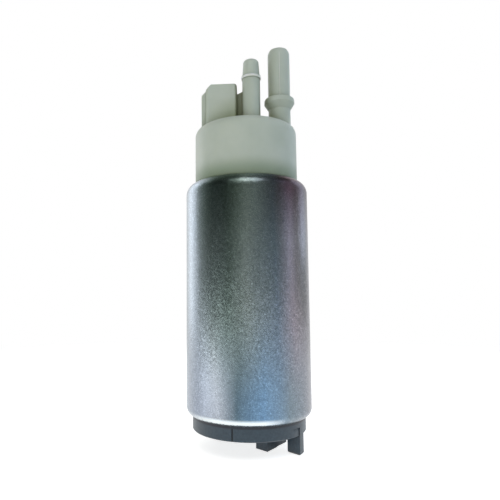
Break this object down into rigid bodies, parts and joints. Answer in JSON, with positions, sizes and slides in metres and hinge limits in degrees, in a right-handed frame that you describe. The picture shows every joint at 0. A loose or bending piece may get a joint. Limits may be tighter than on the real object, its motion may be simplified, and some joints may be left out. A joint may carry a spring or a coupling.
{
  "type": "electric fuel pump",
  "caption": "Round steel-cased electric fuel pump with a turbine stage, a brushed motor, a quick-connect outlet spigot, a hose nipple and a plug socket.",
  "frame": {"origin": "on the axis of the steel can, half way up the can", "axes": "+Z along the pump's axis towards the outlet spigot, +X towards the spigot's side, and -Y towards the viewer of the picture"},
  "size_m": [0.043, 0.043, 0.1406],
  "materials": {
    "plated_steel": "zinc plated, satin",
    "natural_acetal": "moulded, satin",
    "black_resin": "glass filled, matt",
    "seal_rubber": "smooth",
    "tinned_brass": "bright",
    "valve_resin": "moulded",
    "spring_steel": "bright drawn",
    "ground_steel": "ground",
    "holder_resin": "moulded",
    "carbon": "pressed carbon",
    "copper": "enamelled wire",
    "ferrite": "sintered",
    "sintered_bronze": "sintered, oiled",
    "core_steel": "stamped sheet",
    "insulator_resin": "coated",
    "commutator_resin": "phenolic, moulded",
    "washer_resin": "smooth",
    "cast_aluminium": "die cast",
    "impeller_resin": "phenolic, ground faces"
  },
  "bodies": {
    "housing": {"can": "plated_steel", "outlet_cover": "natural_acetal", "cover_seal": "seal_rubber", "inlet_cover": "black_resin", "terminal_positive": "tinned_brass", "terminal_negative": "tinned_brass", "check_seat": "black_resin", "check_spring": "spring_steel", "relief_retainer": "tinned_brass", "relief_spring": "spring_steel", "brush_holder": "holder_resin", "brush_spring_left": "spring_steel", "brush_spring_right": "spring_steel", "brush_lead_left": "copper", "brush_lead_right": "copper", "brush_caps": "tinned_brass", "choke_cores": "ferrite", "choke_coils": "copper", "upper_bearing": "sintered_bronze", "lower_bearing": "sintered_bronze", "magnet_north": "ferrite", "magnet_south": "ferrite", "magnet_clips": "spring_steel", "flux_ring": "core_steel", "pump_plate": "cast_aluminium", "spacer_ring": "cast_aluminium", "thrust_button": "ground_steel"},
    "rotor": {"shaft": "ground_steel", "armature_core": "core_steel", "windings": "copper", "insulator_lower": "insulator_resin", "insulator_upper": "insulator_resin", "commutator_hub": "commutator_resin", "commutator_segments": "carbon", "thrust_washers": "washer_resin", "impeller": "impeller_resin"},
    "left_brush": {"brush_left": "carbon"},
    "right_brush": {"brush_right": "carbon"},
    "check_valve": {"check_poppet": "valve_resin"},
    "relief_valve": {"relief_ball": "ground_steel"}
  },
  "joints": [
    {"name": "rotor_spin", "type": "hinge", "parent": "housing", "child": "rotor", "pos_m": [0, 0, 0], "axis": [0, 0, 1], "continuous": true},
    {"name": "brush_left_slide", "type": "slide", "parent": "housing", "child": "left_brush", "axis": [0, 0, 1], "range_m": [0, 0.0015], "stiffness_N_per_m": 150, "springref_m": -0.006, "deforming": ["brush_spring_left", "brush_lead_left"]},
    {"name": "brush_right_slide", "type": "slide", "parent": "housing", "child": "right_brush", "axis": [0, 0, 1], "range_m": [0, 0.0015], "stiffness_N_per_m": 150, "springref_m": -0.006, "deforming": ["brush_spring_right", "brush_lead_right"]},
    {"name": "check_valve_lift", "type": "slide", "parent": "housing", "child": "check_valve", "axis": [0, 0, 1], "range_m": [0, 0.002], "stiffness_N_per_m": 60, "springref_m": -0.005, "deforming": ["check_spring"]},
    {"name": "relief_valve_lift", "type": "slide", "parent": "housing", "child": "relief_valve", "axis": [0, 0, 1], "range_m": [0, 0.001], "stiffness_N_per_m": 800, "springref_m": -0.004, "deforming": ["relief_spring"]}
  ]
}
